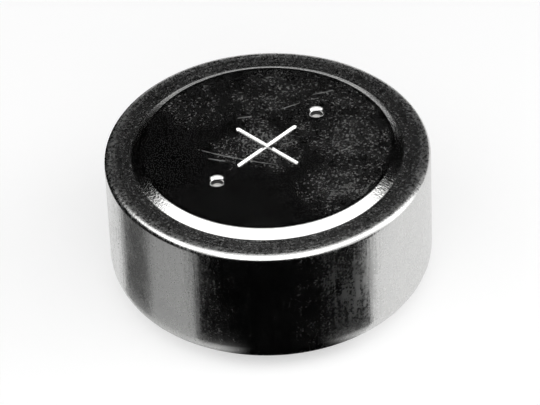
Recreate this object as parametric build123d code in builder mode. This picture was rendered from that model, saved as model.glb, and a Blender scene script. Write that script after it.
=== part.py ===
from build123d import *
import os
from math import atan2, degrees, isclose, radians, tan

# A zinc-air button cell that stands on its negative cap, in millimetres.
# The origin is the centre of the negative contact face, and +Z points at the positive face.
# The can opens downwards; its mouth is turned in and grips the gasket on the cap's shoulder.

# ---- Driving dimensions ----

# Whole cell
cell_diameter = 11.6
cell_height = 5.4

# Positive can, one drawn cup
can_wall = 0.25
rim_radius = 0.23
shoulder_width = 0.96          # from the can's side to the foot of the step
plateau_rise = 0.24
plateau_slope_run = 0.34
plateau_edge_radius = 0.10
plateau_foot_radius = 0.06
crimp_height = 0.20            # the contact face stands this far below the turned-in mouth
crimp_radius = 0.80
crimp_reach = 1.05             # from the can's side to the end of the lip
crimp_lip_radius = 0.06

# Air holes, punched from outside, so that their outer edge is drawn in
air_hole_diameter = 0.36
air_hole_spacing = 5.12
air_hole_lip_radius = 0.18

# Engraved plus sign, with a V section
plus_length = 3.00
groove_width = 0.20
groove_depth = 0.086
groove_slope = 45              # degrees from upright
plus_turn = 45                 # degrees from the X axis to the arm that the air holes line up with

# Parts between the can and the cap, from the shoulder downwards
paper_headroom = 0.02
paper_side_gap = 0.10
membrane_thickness = 0.10
diffusion_thickness = 0.10
catalyst_thickness = 0.30
barrier_thickness = 0.05
absorbent_thickness = 0.10
stack_side_gap = 0.05          # loose discs in the can

# Nickel screen, buried half way through the catalyst
screen_thickness = 0.10
screen_pitch = 0.90
screen_wire = 0.14
screen_border = 0.30
screen_side_gap = 0.01         # its rim touches the can

# Gasket
gasket_wall = 0.33
gasket_foot_thickness = 0.35
gasket_foot_reach = 0.35
gasket_bead_drop = 0.12        # how far the exposed ring fills the depth of the lip
gasket_bead_radius = 0.05
seal_gap = 0.01

# Negative cap, one stepped cup
cap_wall = 0.20
cap_shoulder_width = 0.73
cap_neck_run = 0.27
cap_face_radius = 0.35         # rounding round the contact face
cap_neck_radius = 0.12

# Zinc gel
gel_gap = 0.01
expansion_space = 0.45
gel_crown_inset = 0.28         # between the gel's top and the gasket's foot

# ---- Shared places, worked out from the sizes above ----

can_radius = cell_diameter / 2
can_inside = can_radius - can_wall
shoulder_top = cell_height - plateau_rise
stack_top = shoulder_top - can_wall
step_foot = can_radius - shoulder_width
plateau_radius = step_foot - plateau_slope_run
step_angle = degrees(atan2(plateau_rise, plateau_slope_run))
lip_end = can_radius - crimp_reach
lip_floor = crimp_height + can_wall
crimp_inside_radius = crimp_radius - can_wall

membrane_floor = stack_top - membrane_thickness
diffusion_floor = membrane_floor - diffusion_thickness
catalyst_floor = diffusion_floor - catalyst_thickness
barrier_floor = catalyst_floor - barrier_thickness
absorbent_floor = barrier_floor - absorbent_thickness
foot_floor = absorbent_floor - gasket_foot_thickness
stack_radius = can_inside - stack_side_gap

gasket_outside = can_inside - seal_gap
gasket_inside = gasket_outside - gasket_wall
gasket_outside_radius = crimp_inside_radius - seal_gap
gasket_inside_radius = gasket_outside_radius - gasket_wall
cap_outside = gasket_inside - seal_gap
cap_inside = cap_outside - cap_wall
cap_shoulder = lip_floor + gasket_wall + 2 * seal_gap
cap_shoulder_radius = gasket_inside_radius - seal_gap
neck_top = cap_outside - cap_shoulder_width
neck_foot = neck_top - cap_neck_run
neck_angle = degrees(atan2(cap_shoulder, cap_neck_run))
foot_end = cap_inside - gasket_foot_reach


def mitre(wall, bend):
    """Sideways shift between the outer and inner corner of a wall that bends by that many degrees."""
    return wall * tan(radians(bend) / 2)


def half_section(*corners):
    """Closed half section on the XZ plane, from corners given as (radius, height, rounding)."""
    points = [(radius, height) for radius, height, _ in corners]
    roundings = [max(rounding, 0) for _, _, rounding in corners]
    with BuildSketch(Plane.XZ) as section:
        with BuildLine():
            FilletPolyline(points, radius=roundings, close=True)
        make_face()
    return section.sketch


# ---- Positive can ----

step_shift = mitre(can_wall, step_angle)
can_section = half_section(
    (0, cell_height, 0),
    (plateau_radius, cell_height, plateau_edge_radius),
    (step_foot, shoulder_top, plateau_foot_radius),
    (can_radius, shoulder_top, rim_radius),
    (can_radius, crimp_height, crimp_radius),
    (lip_end, crimp_height, crimp_lip_radius),
    (lip_end, lip_floor, crimp_lip_radius),
    (can_inside, lip_floor, crimp_inside_radius),
    (can_inside, stack_top, 0),
    (step_foot - step_shift, stack_top, plateau_foot_radius + can_wall),
    (plateau_radius - step_shift, cell_height - can_wall, 0),
    (0, cell_height - can_wall, 0),
)

with BuildPart() as positive_can:
    revolve(can_section)
    with Locations(Plane.XY.offset(cell_height)):
        with PolarLocations(air_hole_spacing / 2, 2, start_angle=plus_turn):
            Hole(air_hole_diameter / 2, depth=2 * can_wall)
    round_edges = positive_can.edges().filter_by(GeomType.CIRCLE)
    hole_edges = round_edges.filter_by(lambda edge: isclose(edge.radius, air_hole_diameter / 2))
    fillet(hole_edges.group_by(Axis.Z)[-1], air_hole_lip_radius)
    for arm_turn in (plus_turn, plus_turn + 90):
        with BuildSketch(Plane.XY.offset(cell_height)):
            SlotOverall(plus_length, groove_width, rotation=arm_turn)
        extrude(amount=-groove_depth, taper=groove_slope, mode=Mode.SUBTRACT)
positive_can.part.label = "positive_can"

# ---- Discs between the can's shoulder and the gasket's foot, from the air holes down ----

with BuildPart() as air_diffusion_paper:
    with BuildSketch(Plane.XY.offset(stack_top)):
        Circle(plateau_radius - step_shift - paper_side_gap)
    extrude(amount=plateau_rise - paper_headroom)
air_diffusion_paper.part.label = "air_diffusion_paper"

with BuildPart() as ptfe_membrane:
    with BuildSketch(Plane.XY.offset(membrane_floor)):
        Circle(stack_radius)
    extrude(amount=membrane_thickness)
ptfe_membrane.part.label = "ptfe_membrane"

with BuildPart() as gas_diffusion_layer:
    with BuildSketch(Plane.XY.offset(diffusion_floor)):
        Circle(stack_radius)
    extrude(amount=diffusion_thickness)
gas_diffusion_layer.part.label = "gas_diffusion_layer"

with BuildPart() as barrier_separator:
    with BuildSketch(Plane.XY.offset(barrier_floor)):
        Circle(stack_radius)
    extrude(amount=barrier_thickness)
barrier_separator.part.label = "barrier_separator"

with BuildPart() as absorbent_separator:
    with BuildSketch(Plane.XY.offset(absorbent_floor)):
        Circle(stack_radius)
    extrude(amount=absorbent_thickness)
absorbent_separator.part.label = "absorbent_separator"

# ---- Nickel screen: square openings inside an unbroken border that touches the can ----

screen_radius = can_inside - screen_side_gap
screen_floor = catalyst_floor + (catalyst_thickness - screen_thickness) / 2
screen_opening = screen_pitch - screen_wire
opening_reach = screen_radius - screen_border - screen_opening / 2**0.5
openings_across = 2 * int(opening_reach / screen_pitch) + 1
opening_grid = GridLocations(screen_pitch, screen_pitch, openings_across, openings_across)
openings = [place for place in opening_grid if place.position.length < opening_reach]

with BuildPart() as nickel_screen:
    with BuildSketch(Plane.XY.offset(screen_floor)):
        Circle(screen_radius)
        with Locations(openings):
            Rectangle(screen_opening, screen_opening, mode=Mode.SUBTRACT)
    extrude(amount=screen_thickness)
nickel_screen.part.label = "nickel_screen"

# ---- Catalyst, pressed round the screen ----

with BuildPart() as catalyst_layer:
    with BuildSketch(Plane.XY.offset(catalyst_floor)):
        Circle(stack_radius)
    extrude(amount=catalyst_thickness)
    add(nickel_screen.part, mode=Mode.SUBTRACT)
catalyst_layer.part.label = "catalyst_layer"

# ---- Gasket: foot under the cap's rim, wall between can and cap, ring that shows below ----

bead_floor = lip_floor - gasket_bead_drop
bead_outside = lip_end - seal_gap
bead_inside = neck_foot + (neck_top - neck_foot) * bead_floor / cap_shoulder + seal_gap
gasket_section = half_section(
    (foot_end, absorbent_floor, 0),
    (gasket_outside, absorbent_floor, 0),
    (gasket_outside, lip_floor + seal_gap, gasket_outside_radius),
    (bead_outside, lip_floor + seal_gap, 0),
    (bead_outside, bead_floor, gasket_bead_radius),
    (bead_inside, bead_floor, 0),
    (neck_top + seal_gap, cap_shoulder - seal_gap, cap_neck_radius - seal_gap),
    (gasket_inside, cap_shoulder - seal_gap, gasket_inside_radius),
    (gasket_inside, foot_floor, 0),
    (foot_end, foot_floor, 0),
)

with BuildPart() as gasket:
    revolve(gasket_section)
gasket.part.label = "gasket"

# ---- Negative cap ----

neck_shift = mitre(cap_wall, neck_angle)
cap_section = half_section(
    (0, 0, 0),
    (neck_foot, 0, cap_face_radius),
    (neck_top, cap_shoulder, cap_neck_radius),
    (cap_outside, cap_shoulder, cap_shoulder_radius),
    (cap_outside, foot_floor, 0),
    (cap_inside, foot_floor, 0),
    (cap_inside, cap_shoulder + cap_wall, cap_shoulder_radius - cap_wall),
    (neck_top - neck_shift, cap_shoulder + cap_wall, cap_neck_radius + cap_wall),
    (neck_foot - neck_shift, cap_wall, cap_face_radius - cap_wall),
    (0, cap_wall, 0),
)

with BuildPart() as negative_cap:
    revolve(cap_section)
negative_cap.part.label = "negative_cap"

# ---- Zinc gel: fills the cap and touches the separator, with a ring of free space at its top ----

gel_side = cap_inside - gel_gap
gel_step = cap_shoulder + cap_wall + gel_gap
gel_crown = foot_end - gel_crown_inset
gel_crown_floor = foot_floor - expansion_space
gel_section = half_section(
    (0, cap_wall, 0),
    (neck_foot - neck_shift - gel_gap, cap_wall, cap_face_radius - cap_wall),
    (neck_top - neck_shift - gel_gap, gel_step, cap_neck_radius + cap_wall + gel_gap),
    (gel_side, gel_step, cap_shoulder_radius - cap_wall),
    (gel_side, gel_crown_floor, 0),
    (gel_crown, gel_crown_floor, 0),
    (gel_crown, absorbent_floor, 0),
    (0, absorbent_floor, 0),
)

with BuildPart() as zinc_anode:
    revolve(gel_section)
zinc_anode.part.label = "zinc_anode"

# ---- Write one file for each piece ----

pieces = [
    positive_can,
    air_diffusion_paper,
    ptfe_membrane,
    gas_diffusion_layer,
    nickel_screen,
    catalyst_layer,
    barrier_separator,
    absorbent_separator,
    zinc_anode,
    gasket,
    negative_cap,
]

os.makedirs("parts", exist_ok=True)
for piece in pieces:
    export_step(piece.part, f"parts/{piece.part.label}.step")
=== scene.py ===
import math

import bmesh
import bpy
from mathutils import Matrix, Vector


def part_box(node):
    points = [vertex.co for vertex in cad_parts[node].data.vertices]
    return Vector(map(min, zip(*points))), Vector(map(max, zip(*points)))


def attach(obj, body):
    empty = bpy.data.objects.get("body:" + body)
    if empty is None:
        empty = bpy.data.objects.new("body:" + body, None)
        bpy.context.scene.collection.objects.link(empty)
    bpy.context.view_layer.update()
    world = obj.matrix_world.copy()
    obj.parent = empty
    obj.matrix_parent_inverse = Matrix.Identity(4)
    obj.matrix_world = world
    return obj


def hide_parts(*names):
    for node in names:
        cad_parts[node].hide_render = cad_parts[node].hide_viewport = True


# A zinc-air button cell that stands on its negative cap. The can, the cap and the gasket are spun
# from their half sections, and the sealed pieces inside keep the shapes of the frame.

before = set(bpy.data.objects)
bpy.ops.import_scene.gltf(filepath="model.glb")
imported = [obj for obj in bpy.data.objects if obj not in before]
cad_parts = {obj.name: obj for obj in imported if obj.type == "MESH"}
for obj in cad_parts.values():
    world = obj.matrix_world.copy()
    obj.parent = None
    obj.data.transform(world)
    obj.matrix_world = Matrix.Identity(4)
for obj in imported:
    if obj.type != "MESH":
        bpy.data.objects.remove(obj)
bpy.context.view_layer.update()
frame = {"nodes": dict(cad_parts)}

MM = 0.001                     # the scene is in metres
TURN_STEPS = 256               # facets round a turned piece
ROUNDING_STEPS = 7             # facets across a rounded corner
MERGE = 1e-8                   # distance at which two points are one

# ---- Sizes of the cell: its boxes from the frame, and the rest as its solids were drawn ----

can_low, can_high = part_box("positive_can")
cap_low, cap_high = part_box("negative_cap")
seal_low, seal_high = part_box("gasket")

CAN_RADIUS = can_high.x
FACE_TOP = can_high.z
MOUTH_FLOOR = can_low.z
CAN_WALL = 0.25 * MM
RIM_RADIUS = 0.23 * MM
PLATEAU_RISE = 0.24 * MM
PLATEAU_SLOPE_RUN = 0.34 * MM
PLATEAU_EDGE_RADIUS = 0.10 * MM
PLATEAU_FOOT_RADIUS = 0.06 * MM
CRIMP_RADIUS = 0.80 * MM
CRIMP_LIP_RADIUS = 0.06 * MM
SHOULDER_TOP = FACE_TOP - PLATEAU_RISE
STEP_FOOT = CAN_RADIUS - 0.96 * MM
PLATEAU_RADIUS = STEP_FOOT - PLATEAU_SLOPE_RUN
CRIMP_END = CAN_RADIUS - 1.05 * MM
MOUTH_CEILING = MOUTH_FLOOR + CAN_WALL

AIR_HOLE_RADIUS = 0.18 * MM
AIR_HOLE_LIP = 0.18 * MM
AIR_HOLE_REACH = 2.56 * MM     # from the axis
HOLE_PUNCH_DEPTH = 2 * CAN_WALL
PUNCH_OVERSHOOT = 0.2 * MM     # how far a punch stands out of the face
PUNCH_STEPS = 48               # facets round a punch
HOLE_LIP_STEPS = 8
GROOVE_LIP_STEPS = 4
PLUS_LENGTH = 3.00 * MM
GROOVE_FLOOR = 0.015 * MM      # half width at the bottom
GROOVE_DEPTH = 0.086 * MM
GROOVE_LIP = 0.045 * MM
GROOVE_SPLITS = 12             # cross cuts that keep the long walls evenly shaded
PLUS_TURN = math.radians(45)

CAP_RADIUS = cap_high.x
CAP_RIM = cap_high.z
CAP_FACE = cap_low.z
CAP_WALL = 0.20 * MM
CAP_SHOULDER = 0.80 * MM
CAP_SHOULDER_RADIUS = 0.20 * MM
NECK_TOP = CAP_RADIUS - 0.73 * MM
NECK_FOOT = NECK_TOP - 0.27 * MM
CAP_FACE_RADIUS = 0.35 * MM
NECK_RADIUS = 0.12 * MM

SEAL_GAP = 0.01 * MM
SEAL_RADIUS = seal_high.x
SEAL_TOP = seal_high.z
BEAD_FLOOR = seal_low.z
BEAD_RADIUS = 0.05 * MM
SEAL_INSIDE = CAP_RADIUS + SEAL_GAP
FOOT_END = CAP_RADIUS - CAP_WALL - 0.35 * MM


# ---- Turned pieces ----

def bend_at(before, corner, after):
    """Angle by which a section turns at a corner."""
    return (corner - before).angle(after - corner)


def turned_mesh(corners):
    """Spin a closed section, given as (radius, height, rounding) corners, about the upright axis."""
    places = [Vector((radius, 0, height)) for radius, height, _ in corners]
    bm = bmesh.new()
    verts = [bm.verts.new(place) for place in places]
    count = len(verts)
    for n in range(count):
        if places[n].x > 0 or places[(n + 1) % count].x > 0:
            bm.edges.new((verts[n], verts[(n + 1) % count]))
    for n, (_, _, rounding) in enumerate(corners):
        if rounding:
            bend = bend_at(places[n - 1], places[n], places[(n + 1) % count])
            bmesh.ops.bevel(
                bm, geom=[verts[n]], offset=rounding * math.tan(bend / 2), offset_type="OFFSET",
                segments=ROUNDING_STEPS, profile=0.5, affect="VERTICES", material=-1,
            )
    bmesh.ops.spin(
        bm, geom=bm.verts[:] + bm.edges[:], cent=(0, 0, 0), axis=(0, 0, 1),
        angle=math.tau, steps=TURN_STEPS, use_merge=True,
    )
    bmesh.ops.remove_doubles(bm, verts=bm.verts[:], dist=MERGE)
    join_flat_discs(bm)
    bmesh.ops.recalc_face_normals(bm, faces=bm.faces[:])
    return bm


def join_flat_discs(bm):
    """Make one face of each fan of triangles that meets on the axis."""
    for pole in [v for v in bm.verts if math.hypot(v.co.x, v.co.y) < MERGE]:
        bmesh.ops.dissolve_faces(bm, faces=list(pole.link_faces), use_verts=False)
    loose = [v for v in bm.verts if not v.link_faces]
    bmesh.ops.delete(bm, geom=loose, context="VERTS")


def place_mesh(bm, name):
    """Turn a bmesh into an object at the origin."""
    mesh = bpy.data.meshes.new(name)
    bm.to_mesh(mesh)
    bm.free()
    piece = bpy.data.objects.new(name, mesh)
    bpy.context.scene.collection.objects.link(piece)
    return piece


def smooth_piece(piece, crease=40):
    """Shade a piece smooth, with flat faces left flat and its sharp edges kept."""
    mesh = piece.data
    mesh.polygons.foreach_set("use_smooth", [True] * len(mesh.polygons))
    mesh.set_sharp_from_angle(angle=math.radians(crease))
    weighted = piece.modifiers.new("flat faces stay flat", "WEIGHTED_NORMAL")
    weighted.keep_sharp = True
    weighted.weight = 100


# ---- Positive can ----

def can_section():
    """Half section of the drawn can, from the middle of its face out, down and back inside."""
    slope = math.atan2(PLATEAU_RISE, PLATEAU_SLOPE_RUN)
    shift = CAN_WALL * math.tan(slope / 2)
    inside = CAN_RADIUS - CAN_WALL
    return [
        (0, FACE_TOP, 0),
        (PLATEAU_RADIUS, FACE_TOP, PLATEAU_EDGE_RADIUS),
        (STEP_FOOT, SHOULDER_TOP, PLATEAU_FOOT_RADIUS),
        (CAN_RADIUS, SHOULDER_TOP, RIM_RADIUS),
        (CAN_RADIUS, MOUTH_FLOOR, CRIMP_RADIUS),
        (CRIMP_END, MOUTH_FLOOR, CRIMP_LIP_RADIUS),
        (CRIMP_END, MOUTH_CEILING, CRIMP_LIP_RADIUS),
        (inside, MOUTH_CEILING, CRIMP_RADIUS - CAN_WALL),
        (inside, SHOULDER_TOP - CAN_WALL, 0),
        (STEP_FOOT - shift, SHOULDER_TOP - CAN_WALL, 0),
        (PLATEAU_RADIUS - shift, FACE_TOP - CAN_WALL, 0),
        (0, FACE_TOP - CAN_WALL, 0),
    ]


def flared_tool(floor_radius, depth, wall_radius, lip, steps):
    """Punch with a straight or sloping side and a lip that flares out to lie flat on the face."""
    section = [(0, FACE_TOP - depth), (floor_radius, FACE_TOP - depth)]
    slope = math.atan2(wall_radius - floor_radius, depth - lip)
    reach = math.pi / 2 - slope
    for n in range(steps + 1):
        angle = reach * (1 - n / steps)
        drop = lip * (1 - math.cos(angle))
        flare = wall_radius + lip * (math.sin(reach) - math.sin(angle))
        section.append((flare, FACE_TOP - drop))
    outer = section[-1][0]
    section += [(outer, FACE_TOP + PUNCH_OVERSHOOT), (0, FACE_TOP + PUNCH_OVERSHOOT)]
    bm = bmesh.new()
    verts = [bm.verts.new((radius, 0, height)) for radius, height in section]
    for first, second in zip(verts, verts[1:]):
        bm.edges.new((first, second))
    bmesh.ops.spin(
        bm, geom=bm.verts[:] + bm.edges[:], cent=(0, 0, 0), axis=(0, 0, 1),
        angle=math.tau, steps=PUNCH_STEPS, use_merge=True,
    )
    bmesh.ops.remove_doubles(bm, verts=bm.verts[:], dist=MERGE)
    bmesh.ops.recalc_face_normals(bm, faces=bm.faces[:])
    return bm


def air_hole_tool(reach_turn):
    """A punch for the air hole that lies at an angle from the X axis."""
    bm = flared_tool(AIR_HOLE_RADIUS, HOLE_PUNCH_DEPTH, AIR_HOLE_RADIUS, AIR_HOLE_LIP, HOLE_LIP_STEPS)
    place = Vector((math.cos(reach_turn), math.sin(reach_turn), 0)) * AIR_HOLE_REACH
    bmesh.ops.translate(bm, verts=bm.verts[:], vec=place)
    return place_mesh(bm, "air_hole_tool")


def groove_tool(arm_turn):
    """A punch for one arm of the plus sign: a turned punch pulled apart lengthwise."""
    wall_radius = GROOVE_FLOOR + (GROOVE_DEPTH - GROOVE_LIP / 2)
    bm = flared_tool(GROOVE_FLOOR, GROOVE_DEPTH, wall_radius, GROOVE_LIP, GROOVE_LIP_STEPS)
    pull = Vector((PLUS_LENGTH / 2 - wall_radius, 0, 0))
    half_step = Matrix.Rotation(math.pi / PUNCH_STEPS, 3, "Z")
    bmesh.ops.rotate(bm, verts=bm.verts[:], cent=(0, 0, 0), matrix=half_step)
    join_flat_discs(bm)
    bmesh.ops.translate(bm, verts=[v for v in bm.verts if v.co.x > 0], vec=pull)
    bmesh.ops.translate(bm, verts=[v for v in bm.verts if v.co.x < 0], vec=-pull)
    for n in range(1, GROOVE_SPLITS):
        along = Vector((PLUS_LENGTH * (n / GROOVE_SPLITS - 0.5), 0, 0))
        everything = bm.verts[:] + bm.edges[:] + bm.faces[:]
        bmesh.ops.bisect_plane(bm, geom=everything, dist=MERGE, plane_co=along, plane_no=(1, 0, 0))
    bmesh.ops.rotate(bm, verts=bm.verts[:], cent=(0, 0, 0), matrix=Matrix.Rotation(arm_turn, 3, "Z"))
    return place_mesh(bm, "groove_tool")


def cut(piece, tools):
    """Cut tools out of a piece and throw the tools away."""
    for tool in tools:
        cutter = piece.modifiers.new("cut", "BOOLEAN")
        cutter.operation = "DIFFERENCE"
        cutter.solver = "EXACT"
        cutter.object = tool
    graph = bpy.context.evaluated_depsgraph_get()
    mesh = bpy.data.meshes.new_from_object(piece.evaluated_get(graph))
    piece.modifiers.clear()
    piece.data = mesh
    for tool in tools:
        bpy.data.objects.remove(tool)


def make_can():
    """The drawn can, with its air holes and plus sign."""
    can = place_mesh(turned_mesh(can_section()), "can_shell")
    tools = [air_hole_tool(PLUS_TURN), air_hole_tool(PLUS_TURN + math.pi)]
    tools += [groove_tool(PLUS_TURN), groove_tool(PLUS_TURN + math.pi / 2)]
    cut(can, tools)
    smooth_piece(can)
    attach(can, "root")
    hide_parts("positive_can")
    return can


# ---- Negative cap and gasket ----

def cap_section():
    """Half section of the stepped cup, from the middle of its contact face."""
    slope = math.atan2(CAP_SHOULDER, NECK_TOP - NECK_FOOT)
    shift = CAP_WALL * math.tan(slope / 2)
    inside = CAP_RADIUS - CAP_WALL
    return [
        (0, CAP_FACE, 0),
        (NECK_FOOT, CAP_FACE, CAP_FACE_RADIUS),
        (NECK_TOP, CAP_SHOULDER, NECK_RADIUS),
        (CAP_RADIUS, CAP_SHOULDER, CAP_SHOULDER_RADIUS),
        (CAP_RADIUS, CAP_RIM, 0),
        (inside, CAP_RIM, 0),
        (inside, CAP_SHOULDER + CAP_WALL, 0),
        (NECK_TOP - shift, CAP_SHOULDER + CAP_WALL, NECK_RADIUS + CAP_WALL),
        (NECK_FOOT - shift, CAP_FACE + CAP_WALL, CAP_FACE_RADIUS - CAP_WALL),
        (0, CAP_FACE + CAP_WALL, 0),
    ]


def make_cap():
    """The negative cap."""
    cap = place_mesh(turned_mesh(cap_section()), "cap_shell")
    smooth_piece(cap)
    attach(cap, "root")
    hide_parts("negative_cap")
    return cap


def seal_section():
    """Half section of the ring, from the foot under the cap's rim to the bead that shows below."""
    ceiling = MOUTH_CEILING + SEAL_GAP
    bead_outside = CRIMP_END - SEAL_GAP
    bead_inside = NECK_FOOT + (NECK_TOP - NECK_FOOT) * BEAD_FLOOR / CAP_SHOULDER + SEAL_GAP
    return [
        (FOOT_END, SEAL_TOP, 0),
        (SEAL_RADIUS, SEAL_TOP, 0),
        (SEAL_RADIUS, ceiling, CRIMP_RADIUS - CAN_WALL - SEAL_GAP),
        (bead_outside, ceiling, 0),
        (bead_outside, BEAD_FLOOR, BEAD_RADIUS),
        (bead_inside, BEAD_FLOOR, 0),
        (NECK_TOP + SEAL_GAP, CAP_SHOULDER - SEAL_GAP, NECK_RADIUS - SEAL_GAP),
        (SEAL_INSIDE, CAP_SHOULDER - SEAL_GAP, CAP_SHOULDER_RADIUS),
        (SEAL_INSIDE, CAP_RIM, 0),
        (FOOT_END, CAP_RIM, 0),
    ]


def make_seal():
    """The nylon gasket."""
    seal = place_mesh(turned_mesh(seal_section()), "seal_ring")
    smooth_piece(seal)
    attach(seal, "root")
    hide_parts("gasket")
    return seal


# ---- Finishes ----

NICKEL_RELIEF = 0.004 * MM

class Finish:
    """One node material, with short calls for the nodes that the finishes share."""

    def __init__(self, name):
        self.material = bpy.data.materials.new(name)
        self.material.use_nodes = True
        self.nodes = self.material.node_tree.nodes
        self.links = self.material.node_tree.links
        self.nodes.clear()
        output = self.nodes.new("ShaderNodeOutputMaterial")
        self.shader = self.nodes.new("ShaderNodeBsdfPrincipled")
        self.links.new(self.shader.outputs["BSDF"], output.inputs["Surface"])
        self.place = self.scaled(self.add("ShaderNodeTexCoord").outputs["Object"], 1 / MM)

    def add(self, kind, inputs=None, **settings):
        node = self.nodes.new(kind)
        for key, value in settings.items():
            setattr(node, key, value)
        for key, value in (inputs or {}).items():
            self.feed(node.inputs[key], value)
        return node

    def feed(self, socket, value):
        if isinstance(value, bpy.types.NodeSocket):
            self.links.new(value, socket)
        else:
            socket.default_value = value

    def scaled(self, vector, factor):
        node = self.add("ShaderNodeVectorMath", {0: vector, "Scale": factor}, operation="SCALE")
        return node.outputs["Vector"]

    def stretched(self, vector, x=1.0, y=1.0, z=1.0, turn=0.0):
        inputs = {"Vector": vector, "Rotation": (0, 0, turn), "Scale": (x, y, z)}
        return self.add("ShaderNodeMapping", inputs, vector_type="POINT").outputs["Vector"]

    def math(self, operation, *values, clamp=False):
        inputs = dict(enumerate(values))
        return self.add("ShaderNodeMath", inputs, operation=operation, use_clamp=clamp).outputs[0]

    def noise(self, vector, scale, detail=2.0, roughness=0.5):
        inputs = {"Vector": vector, "Scale": scale, "Detail": detail, "Roughness": roughness}
        return self.add("ShaderNodeTexNoise", inputs).outputs["Fac"]

    def band(self, value, low, high, start=0.0, end=1.0):
        """Value from start to end, as the input goes from low to high."""
        inputs = {"Value": value, "From Min": low, "From Max": high, "To Min": start, "To Max": end}
        node = self.add("ShaderNodeMapRange", inputs, interpolation_type="SMOOTHSTEP")
        return node.outputs["Result"]

    def blend(self, amount, first, second):
        """Mix of two colours."""
        node = self.add("ShaderNodeMix", {"Factor": amount}, data_type="RGBA")
        self.feed(node.inputs[6], first)
        self.feed(node.inputs[7], second)
        return node.outputs[2]

    def around(self):
        """Radius, angle and height of a point, from the upright axis, in millimetres and radians."""
        split = self.add("ShaderNodeSeparateXYZ", {"Vector": self.place})
        x, y, z = split.outputs
        x_squared = self.math("MULTIPLY", x, x)
        y_squared = self.math("MULTIPLY", y, y)
        radius = self.math("SQRT", self.math("ADD", x_squared, y_squared))
        return radius, self.math("ARCTAN2", y, x), z

    def vector(self, x, y, z):
        return self.add("ShaderNodeCombineXYZ", {"X": x, "Y": y, "Z": z}).outputs["Vector"]

    def bump(self, height, distance, strength=1.0):
        inputs = {"Height": height, "Distance": distance, "Strength": strength}
        normal = self.add("ShaderNodeBump", inputs).outputs["Normal"]
        self.links.new(normal, self.shader.inputs["Normal"])

    def set(self, **values):
        for name, value in values.items():
            self.feed(self.shader.inputs[name.replace("_", " ")], value)


# Rubbed and hazy places on the upper face: x, y and reach in millimetres, and strength
HAZE_SPOTS = [
    (-0.2, 0.0, 2.1, 1.9),
    (2.9, 0.4, 3.4, 1.25),
    (2.8, -2.5, 2.9, 1.45),
    (0.4, 3.1, 3.6, 1.10),
    (3.3, 2.7, 2.4, 1.10),
    (-2.6, 2.4, 3.1, 0.85),
    (-0.6, -4.1, 1.6, 0.40),
]

# Hairline scratches on the upper face: middle x, y, heading in degrees, half length, bend radius
HAIRLINES = [
    (-1.15, -0.60, -20.5, 1.75, 14.0),
    (-1.80, -0.66, -17.6, 0.40, 9.0),
    (-0.79, 1.66, 8.0, 0.32, 12.0),
    (2.10, 2.90, 14.0, 0.50, 11.0),
    (0.90, 2.20, 24.0, 0.45, 8.0),
]


def haze_spot(finish, place, x, y, reach, strength):
    """Full strength at a point of the upper face, fading to nothing at its reach."""
    inputs = {0: place, 1: (x, y, FACE_TOP / MM)}
    gap = finish.add("ShaderNodeVectorMath", inputs, operation="DISTANCE").outputs["Value"]
    return finish.band(gap, 0.0, reach, strength, 0.0)


def hairline(finish, x, y, heading, half_length, bend):
    """A fine scratch along an arc, thin towards both ends."""
    heading = math.radians(heading)
    centre = (x - bend * math.sin(heading), y + bend * math.cos(heading), FACE_TOP / MM)
    from_centre = finish.add("ShaderNodeVectorMath", {0: finish.place, 1: centre}, operation="DISTANCE")
    off_line = finish.math("ABSOLUTE", finish.math("SUBTRACT", from_centre.outputs["Value"], bend))
    middle = (x, y, FACE_TOP / MM)
    from_middle = finish.add("ShaderNodeVectorMath", {0: finish.place, 1: middle}, operation="DISTANCE")
    line = finish.band(off_line, 0.008, 0.034, 1.0, 0.0)
    end = finish.band(from_middle.outputs["Value"], 0.55 * half_length, half_length, 1.0, 0.0)
    return finish.math("MULTIPLY", line, end)


def painted_hole_shade(finish):
    """1 on the bare sheared wall of the two air holes, where the finish paints shade, and 0 elsewhere."""
    split = finish.add("ShaderNodeSeparateXYZ", {"Vector": finish.place}).outputs
    flat = finish.vector(split["X"], split["Y"], 0.0)
    edge = AIR_HOLE_RADIUS / MM
    wall = 0.0
    for turn in (PLUS_TURN, PLUS_TURN + math.pi):
        axis = Vector((math.cos(turn), math.sin(turn), 0)) * AIR_HOLE_REACH / MM
        gap = finish.add("ShaderNodeVectorMath", {0: flat, 1: axis}, operation="DISTANCE").outputs["Value"]
        wall = finish.math("MAXIMUM", wall, finish.band(gap, edge + 0.01, edge + 0.03, 1.0, 0.0))
    return wall


def total(finish, first, *rest):
    """Sum of several values."""
    for value in rest:
        first = finish.math("ADD", first, value)
    return first


def product(finish, first, *rest):
    """Product of several values."""
    for value in rest:
        first = finish.math("MULTIPLY", first, value)
    return first


def edge_zone(finish, radius, inner, outer):
    """1 on the ring between two fading bands of radius, each given as its start and end."""
    return product(finish, finish.band(radius, *inner), finish.band(radius, *outer, 1.0, 0.0))


def warped_place(finish):
    """Object place pushed about by a slow noise, so that round spots lose their round outline."""
    push = finish.add("ShaderNodeTexNoise", {"Vector": finish.place, "Scale": 0.8, "Detail": 3.0})
    centred = finish.add(
        "ShaderNodeVectorMath", {0: push.outputs["Color"], 1: (0.5, 0.5, 0.5)}, operation="SUBTRACT",
    )
    push = finish.scaled(centred.outputs["Vector"], 3.0)
    return finish.add("ShaderNodeVectorMath", {0: finish.place, 1: push}, operation="ADD").outputs["Vector"]


def face_haze(finish, on_face, clouds, grain):
    """Rubbed haze of the upper face: strongest in its spots, and never quite gone between them."""
    warped = warped_place(finish)
    haze = 0.25
    for spot in HAZE_SPOTS:
        haze = finish.math("MAXIMUM", haze, haze_spot(finish, warped, *spot))
    haze = product(finish, haze, on_face, total(finish, 0.40, finish.math("MULTIPLY", clouds, 0.80)))
    return product(finish, haze, total(finish, 0.40, finish.math("MULTIPLY", grain, 1.20)))


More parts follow.
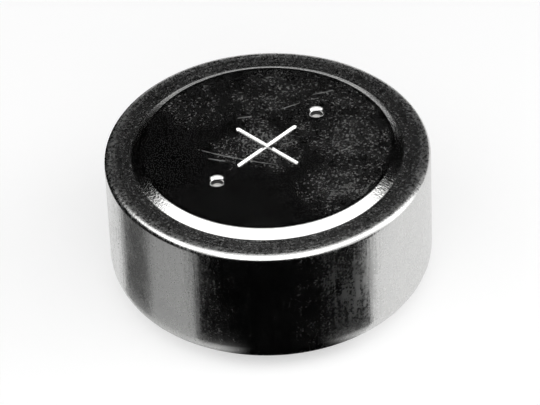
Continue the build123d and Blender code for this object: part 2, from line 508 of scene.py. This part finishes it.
def face_scratches(finish):
    """The hairlines, broken up along their length."""
    scratches = 0.0
    for line in HAIRLINES:
        scratches = finish.math("MAXIMUM", scratches, hairline(finish, *line))
    broken = finish.band(finish.noise(finish.place, 5.0, detail=2.0), 0.35, 0.60, 0.60, 1.0)
    return product(finish, scratches, broken)


def side_wear(finish, on_side, across, clouds, grain, drawn_lines):
    """Haze of the side wall, in upright streaks, more to the right and left than in front."""
    right = finish.band(across, 0.2, 3.4, 0.0, 0.75)
    left = finish.band(across, -3.4, -0.8, 0.45, 0.0)
    patches = total(finish, 0.5, finish.math("MULTIPLY", clouds, 0.7))
    haze = product(finish, on_side, total(finish, 0.30, right, left), patches)
    lines = finish.math("MULTIPLY", drawn_lines, 0.6)
    streaks = total(finish, 0.35, lines, finish.math("MULTIPLY", grain, 0.7))
    return finish.math("MULTIPLY", haze, streaks)


def bright_nickel():
    """Plated steel: mirror-like, with haze, hairlines, turned lines on top and drawn lines on the side, and
    painted shade on the air holes' walls.
    """
    f = Finish("bright nickel plate")
    radius, angle, height = f.around()
    across = f.add("ShaderNodeSeparateXYZ", {"Vector": f.place}).outputs["X"]
    side, foot, brink = CAN_RADIUS / MM, STEP_FOOT / MM, PLATEAU_RADIUS / MM
    on_side = f.band(radius, side - 0.20, side - 0.01)
    on_shoulder = f.band(radius, foot - 0.08, foot + 0.06)
    on_face = f.math("SUBTRACT", 1.0, f.band(radius, brink - 0.20, brink))
    near_step = edge_zone(f, radius, (brink - 0.25, brink + 0.05), (foot - 0.06, foot + 0.21))
    near_rim = edge_zone(f, radius, (side - 0.50, side - 0.25), (side - 0.12, side))

    clouds = f.band(f.noise(f.place, 1.3, detail=6.0, roughness=0.66), 0.30, 0.72)
    grain = f.band(f.noise(f.place, 10.0, detail=3.0, roughness=0.62), 0.28, 0.74)
    specks = f.band(f.noise(f.place, 12.5, detail=2.0, roughness=0.6), 0.52, 0.68)
    turned = f.vector(f.math("MULTIPLY", radius, 22.0), f.math("MULTIPLY", angle, 2.2), height)
    turned_lines = f.band(f.noise(turned, 1.0, detail=4.0, roughness=0.65), 0.36, 0.70)
    drawn = f.vector(f.math("MULTIPLY", angle, 45.0), f.math("MULTIPLY", height, 0.45), 0.0)
    drawn_lines = f.band(f.noise(drawn, 1.0, detail=4.0, roughness=0.6), 0.36, 0.70)

    haze = face_haze(f, on_face, clouds, grain)
    scratches = face_scratches(f)
    side_haze = side_wear(f, on_side, across, clouds, grain, drawn_lines)
    rings = total(f, 0.35, f.math("MULTIPLY", turned_lines, 0.40), f.math("MULTIPLY", grain, 0.55))
    shoulder_haze = product(f, on_shoulder, f.math("SUBTRACT", 1.0, on_side), rings)
    worn = total(f, haze, f.math("MULTIPLY", side_haze, 0.9), f.math("MULTIPLY", shoulder_haze, 0.45))
    speckle = product(f, specks, f.math("MINIMUM", worn, 1.0))
    rough = total(
        f, 0.140,
        f.math("MULTIPLY", haze, 0.088),
        f.math("MULTIPLY", scratches, 0.26),
        f.math("MULTIPLY", shoulder_haze, 0.11),
        f.math("MULTIPLY", side_haze, 0.17),
        f.math("MULTIPLY", speckle, 0.20),
        f.math("MULTIPLY", product(f, near_rim, grain), 0.10),
    )
    shade = f.blend(clouds, (0.60, 0.60, 0.595, 1), (0.65, 0.65, 0.64, 1))
    # Near-black on the air holes' walls: painted shade inside the holes, much darker than their bare steel.
    shade = f.blend(painted_hole_shade(f), shade, (0.07, 0.07, 0.07, 1))
    f.set(Base_Color=shade, Metallic=1.0, Roughness=f.math("MINIMUM", rough, 0.42))

    relief = total(
        f, f.math("MULTIPLY", product(f, shoulder_haze, turned_lines), 0.35),
        f.math("MULTIPLY", product(f, on_side, drawn_lines), 0.30),
        f.math("MULTIPLY", product(f, total(f, near_step, near_rim), grain), 0.9),
        f.math("MULTIPLY", product(f, f.math("MINIMUM", haze, 1.0), grain), 0.35),
    )
    relief = f.math("SUBTRACT", relief, f.math("MULTIPLY", scratches, 0.6))
    f.bump(relief, NICKEL_RELIEF)
    return f.material


def satin_metal(name, colour, roughness):
    """Plain rolled metal with a faint grain."""
    f = Finish(name)
    grain = f.noise(f.stretched(f.place, x=1.0, y=12.0), 3.0, detail=3.0)
    darker = tuple(0.85 * part for part in colour)
    f.set(Base_Color=f.blend(grain, (*darker, 1), (*colour, 1)), Metallic=1.0)
    f.set(Roughness=f.band(grain, 0.3, 0.7, roughness - 0.06, roughness + 0.06))
    f.bump(grain, 0.001 * MM)
    return f.material


def soft_layer(name, colour, grain_size, roughness, relief):
    """Paper, film, felt or paste: a matt colour with its own grain."""
    f = Finish(name)
    grain = f.noise(f.place, 1 / grain_size, detail=4.0, roughness=0.6)
    darker = tuple(0.75 * part for part in colour)
    f.set(Base_Color=f.blend(f.band(grain, 0.3, 0.7), (*darker, 1), (*colour, 1)), Roughness=roughness)
    f.bump(grain, relief)
    return f.material


def dress(piece, material):
    """Give a piece one material in place of what it had."""
    piece.data.materials.clear()
    piece.data.materials.append(material)


def dress_inner_pieces():
    """Finish the frame's own nodes, which are sealed inside the cell."""
    nodes = frame["nodes"]
    paper = soft_layer("diffusion paper", (0.90, 0.89, 0.86), 0.06, 0.9, 0.01 * MM)
    film = soft_layer("white film", (0.88, 0.88, 0.88), 0.20, 0.5, 0.002 * MM)
    barrier = soft_layer("barrier film", (0.78, 0.79, 0.80), 0.30, 0.4, 0.001 * MM)
    felt = soft_layer("absorbent felt", (0.80, 0.78, 0.72), 0.08, 0.95, 0.02 * MM)
    carbon = soft_layer("pressed carbon", (0.035, 0.035, 0.035), 0.10, 0.7, 0.01 * MM)
    gel = soft_layer("zinc gel", (0.30, 0.31, 0.33), 0.12, 0.35, 0.03 * MM)
    mesh_metal = satin_metal("screen nickel", (0.55, 0.54, 0.52), 0.35)
    dress(nodes["air_diffusion_paper"], paper)
    dress(nodes["ptfe_membrane"], film)
    dress(nodes["gas_diffusion_layer"], film)
    dress(nodes["barrier_separator"], barrier)
    dress(nodes["absorbent_separator"], felt)
    dress(nodes["catalyst_layer"], carbon)
    dress(nodes["zinc_anode"], gel)
    dress(nodes["nickel_screen"], mesh_metal)


# ---- Studio ----

FLOOR_RADIUS = 0.9
CARD_LIFT = 0.02 * MM          # above the floor
CARD_FADE = 1.3 * MM           # from the side to where a card has its full colour
CARD_MIDDLE = 0.5 * MM         # right of the axis, where a card may stay dark up to the side
CARD_STEPS = 16                # strips of a card on the floor
FAR = 0.35                     # reach of the long cards
LAMP_HEIGHT = 0.20
LAMP_GLOW = 1.55               # radiance of every lamp, where 1 is white
ROOM_LIGHT = 0.06              # what the pale room adds to the lamps


def plain_colour(name, level, fade=0.0, middle=0.0):
    """Matt grey card, which may fade to pale towards the cell, apart from a stretch at its middle."""
    f = Finish(name)
    tone = f.noise(f.place, 0.004, detail=1.0)
    colour = f.blend(tone, (level, level, level, 1), (level * 0.98, level * 0.98, level * 0.98, 1))
    if fade:
        radius, _, _ = f.around()
        across = f.add("ShaderNodeSeparateXYZ", {"Vector": f.place}).outputs["X"]
        off_middle = f.math("ABSOLUTE", f.math("SUBTRACT", across, CARD_MIDDLE / MM))
        paler = f.band(radius, CAN_RADIUS / MM - 0.3, (CAN_RADIUS + fade) / MM, 1.0, 0.0)
        if middle:
            paler = f.math("MULTIPLY", paler, f.band(off_middle, middle / MM, 2.0 * middle / MM))
        colour = f.blend(paler, colour, (0.9, 0.9, 0.9, 1))
    f.set(Base_Color=colour, Roughness=0.9, Specular_IOR_Level=0.0)
    return f.material


def seen_directly(nodes, links, least):
    """A number that is 1 to the eye, in metal and through glass, and a least value as a light."""
    seen = nodes.new("ShaderNodeLightPath").outputs
    strength = None
    for kind in ("Is Camera Ray", "Is Glossy Ray", "Is Transmission Ray"):
        node = nodes.new("ShaderNodeMath")
        node.operation = "MAXIMUM"
        links.new(seen[kind], node.inputs[0])
        if strength:
            links.new(strength, node.inputs[1])
        else:
            node.inputs[1].default_value = least
        strength = node.outputs[0]
    return strength


def pale_floor():
    """Half lit by the lamps, so that it keeps the cell's shadow, and half white by itself.

    Far from the cell, where the lamps don't reach, it is almost white by itself.
    """
    f = Finish("pale floor")
    f.set(Base_Color=f.blend(f.noise(f.place, 0.004), (0.50, 0.50, 0.50, 1), (0.49, 0.49, 0.49, 1)))
    f.set(Roughness=0.9, Specular_IOR_Level=0.0, Emission_Color=(1, 1, 1, 1))
    radius, _, _ = f.around()
    glow = f.band(radius, 30.0, 160.0, 0.52, 0.90)
    f.set(Emission_Strength=f.math("MULTIPLY", glow, seen_directly(f.nodes, f.links, 0.0)))
    return f.material


def make_floor():
    """Round pale floor under the cell."""
    bm = bmesh.new()
    bmesh.ops.create_circle(bm, cap_ends=True, segments=96, radius=FLOOR_RADIUS)
    floor = place_mesh(bm, "floor")
    dress(floor, pale_floor())


def show_in_metal_only(card):
    """Let the metal mirror a card that neither lights, shades nor hides anything."""
    card.visible_camera = False
    card.visible_diffuse = False
    card.visible_shadow = False


def floor_card(name, start, end, near, far, level, middle=0.0):
    """Card lying beside the cell, for the stretch of its side between two angles from the front.

    The side mirrors a straight upright edge wherever the card's edge runs out in the direction that
    the side sends the camera's rays, which is at twice the angle of the point on the side.
    """
    bm = bmesh.new()
    rows = []
    for n in range(CARD_STEPS + 1):
        turn = math.radians(start + (end - start) * n / CARD_STEPS)
        foot = Vector((math.sin(turn), -math.cos(turn), 0)) * CAN_RADIUS
        out = Vector((math.sin(2 * turn), -math.cos(2 * turn), 0))
        lifted = foot + Vector((0, 0, CARD_LIFT))
        rows.append([bm.verts.new(lifted + out * reach) for reach in (near, far)])
    for (inner, outer), (next_inner, next_outer) in zip(rows, rows[1:]):
        bm.faces.new((inner, next_inner, next_outer, outer))
    card = place_mesh(bm, name)
    dress(card, plain_colour(name, level, CARD_FADE if near < 0 else 0.0, middle))
    show_in_metal_only(card)


def standing_card(name, middle, width, low, high, turn):
    """Black card standing on edge, with its middle at a point of the floor."""
    bm = bmesh.new()
    bmesh.ops.create_grid(bm, x_segments=1, y_segments=1, size=0.5)
    bmesh.ops.scale(bm, verts=bm.verts[:], vec=(width, high - low, 1))
    bmesh.ops.rotate(bm, verts=bm.verts[:], cent=(0, 0, 0), matrix=Matrix.Rotation(math.pi / 2, 3, "X"))
    bmesh.ops.rotate(bm, verts=bm.verts[:], cent=(0, 0, 0), matrix=Matrix.Rotation(turn, 3, "Z"))
    bmesh.ops.translate(bm, verts=bm.verts[:], vec=(middle[0], middle[1], (high + low) / 2))
    card = place_mesh(bm, name)
    dress(card, plain_colour(name, 0.0))
    show_in_metal_only(card)


def lamp(name, place, aim, width, depth, in_metal=True):
    """Soft rectangular lamp turned at a point, which the metal may or may not mirror."""
    data = bpy.data.lights.new(name, "AREA")
    data.shape = "RECTANGLE"
    data.size = width
    data.size_y = depth
    data.energy = LAMP_GLOW * math.pi * width * depth
    made = bpy.data.objects.new(name, data)
    made.location = place
    made.rotation_euler = (Vector(aim) - Vector(place)).to_track_quat("-Z", "Y").to_euler()
    made.visible_camera = False
    made.visible_glossy = in_metal
    bpy.context.scene.collection.objects.link(made)


def make_room():
    """Even pale surroundings, white to the eye and in the metal, and dimmer as a light."""
    room = bpy.data.worlds.new("pale room")
    room.use_nodes = True
    nodes, links = room.node_tree.nodes, room.node_tree.links
    background = nodes["Background"]
    background.inputs["Color"].default_value = (1, 1, 1, 1)
    links.new(seen_directly(nodes, links, ROOM_LIGHT), background.inputs["Strength"])
    bpy.context.scene.world = room


def make_cards():
    """Grey and black cards that the side mirrors low down and the faces mirror high up."""
    outer, dark, grey, black, pale = -90, -65, -49, -28.5, 36.6
    near, beyond = -1 * MM, 9 * MM
    floor_card("dark_grey_card", dark, grey, near, beyond, 0.11)
    floor_card("grey_card", grey, black, near, beyond, 0.45)
    floor_card("black_card_in_front", black, pale, near, FAR, 0.0, middle=1.5 * MM)
    floor_card("black_card_left", outer, black, beyond, FAR, 0.0)
    low, high = 0.075, 0.47
    standing_card("black_card_behind", (0, 0.25), 1.2, low, high, 0)
    standing_card("low_card_behind_left", (-0.335, 0.25), 0.53, 0, low, 0)
    standing_card("low_card_behind_right", (0.335, 0.25), 0.53, 0, low, 0)
    standing_card("low_card_in_front", (0, -0.30), 0.60, 0, low, 0)
    standing_card("standing_card_left", (-0.30, -0.05), 0.50, 0, 0.15, math.pi / 2)
    corner = math.radians(62)
    for name, turn in (("corner_card_left", corner), ("corner_card_right", -corner)):
        middle = (-0.33 * math.sin(turn), 0.33 * math.cos(turn))
        standing_card(name, middle, 0.11, 0, 0.29, turn)


def make_studio():
    """Floor, cards, soft lamps and a pale room. The overhead lamp's middle stays out of the metal."""
    make_floor()
    make_cards()
    lamp("top lamp", (0, -0.11, LAMP_HEIGHT), (0, -0.11, 0), 0.68, 0.18)
    back, depth = 0.023, 0.086
    lamp("overhead lamp", (0, back, LAMP_HEIGHT), (0, back, 0), 0.20, depth, in_metal=False)
    lamp("overhead lamp left", (-0.22, back, LAMP_HEIGHT), (-0.22, back, 0), 0.24, depth)
    lamp("overhead lamp right", (0.22, back, LAMP_HEIGHT), (0.22, back, 0), 0.24, depth)
    lamp("front lamp", (0, -0.30, 0.15), (0, 0, 0), 0.40, 0.19)
    lamp("side lamp", (0.32, 0, 0.10), (0, 0, 0), 0.16, 0.30)
    make_room()


# ---- Camera ----

CAMERA_ELEVATION = math.radians(40.05)
CAMERA_ROLL = math.radians(-2.45)
CAMERA_DISTANCE = 150 * MM
CAMERA_LENS = 279.0
AIM = Vector((0.01, 0, 2.6)) * MM
AIM_RISE = 0.139 * MM


def make_camera():
    """Camera in front of the cell, looking down at it, with a slight roll."""
    away = Vector((0, -math.cos(CAMERA_ELEVATION), math.sin(CAMERA_ELEVATION)))
    right = Vector((1, 0, 0))
    up = away.cross(right)
    right = Matrix.Rotation(CAMERA_ROLL, 3, away) @ right
    up = Matrix.Rotation(CAMERA_ROLL, 3, away) @ up
    camera = bpy.data.objects.new("camera", bpy.data.cameras.new("camera"))
    camera.data.lens = CAMERA_LENS
    camera.data.clip_start = 1 * MM
    camera.data.clip_end = 2.0
    turn = Matrix((right, up, away)).transposed().to_4x4()
    camera.matrix_world = Matrix.Translation(AIM + up * AIM_RISE + away * CAMERA_DISTANCE) @ turn
    bpy.context.scene.collection.objects.link(camera)
    bpy.context.scene.camera = camera


make_camera()
dress(make_can(), bright_nickel())
dress(make_cap(), satin_metal("cap metal", (0.66, 0.65, 0.63), 0.25))
dress(make_seal(), soft_layer("natural nylon", (0.62, 0.61, 0.57), 0.5, 0.4, 0.001 * MM))
dress_inner_pieces()
make_studio()
bpy.context.scene.view_settings.view_transform = "Standard"
